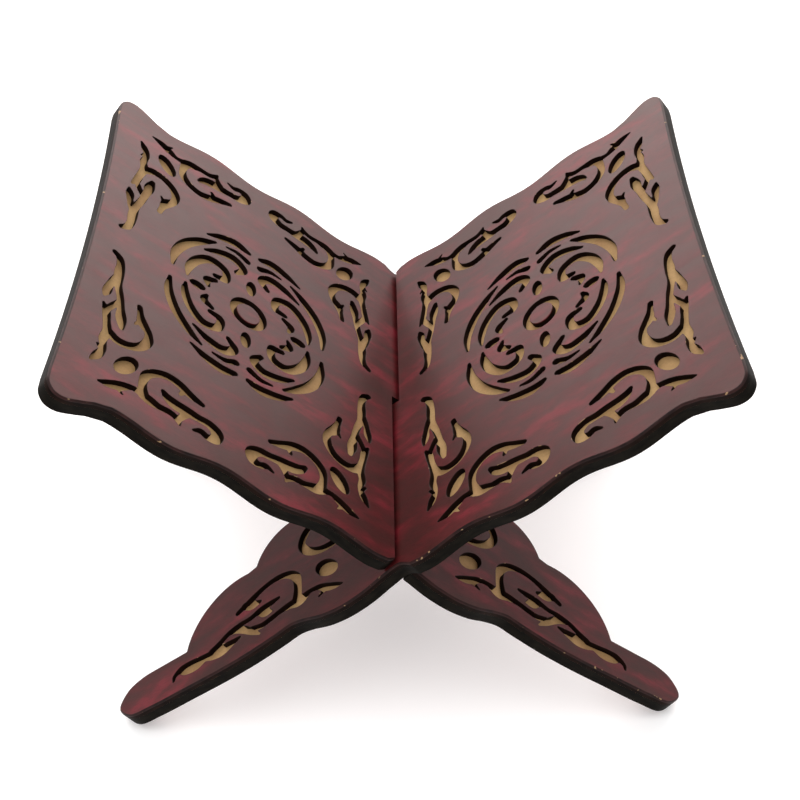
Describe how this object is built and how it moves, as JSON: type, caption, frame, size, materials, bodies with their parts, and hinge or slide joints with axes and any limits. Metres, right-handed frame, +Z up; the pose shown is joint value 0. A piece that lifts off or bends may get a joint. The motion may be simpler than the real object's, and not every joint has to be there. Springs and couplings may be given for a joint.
{
  "type": "book rest stand",
  "caption": "X-shaped folding book rest: two slotted board leaves with pierced fretwork fronts make a V cradle over four feet.",
  "frame": {"origin": "on the ground under the crossing of the two leaves, midway between the near and far feet", "axes": "+X to the right-hand seat, +Y away from the reader along the crossing, +Z up"},
  "size_m": [0.26, 0.2188, 0.2],
  "materials": {
    "mahogany_foil": "satin printed foil on thin board, dark scorched cut edges",
    "raw_board": "matt raw fibreboard"
  },
  "bodies": {
    "left_leaf": {"left_leaf_fretwork_panel": "mahogany_foil", "left_leaf_backing_board": "raw_board", "left_leaf_medallion_boss": "mahogany_foil"},
    "right_leaf": {"right_leaf_fretwork_panel": "mahogany_foil", "right_leaf_backing_board": "raw_board", "right_leaf_medallion_boss": "mahogany_foil"}
  },
  "joints": [
    {"name": "leaf_swing", "type": "hinge", "parent": "left_leaf", "child": "right_leaf", "pos_m": [0, 0, 0.09819], "axis": [0, -1, 0], "range_deg": [0, 28.8]}
  ]
}
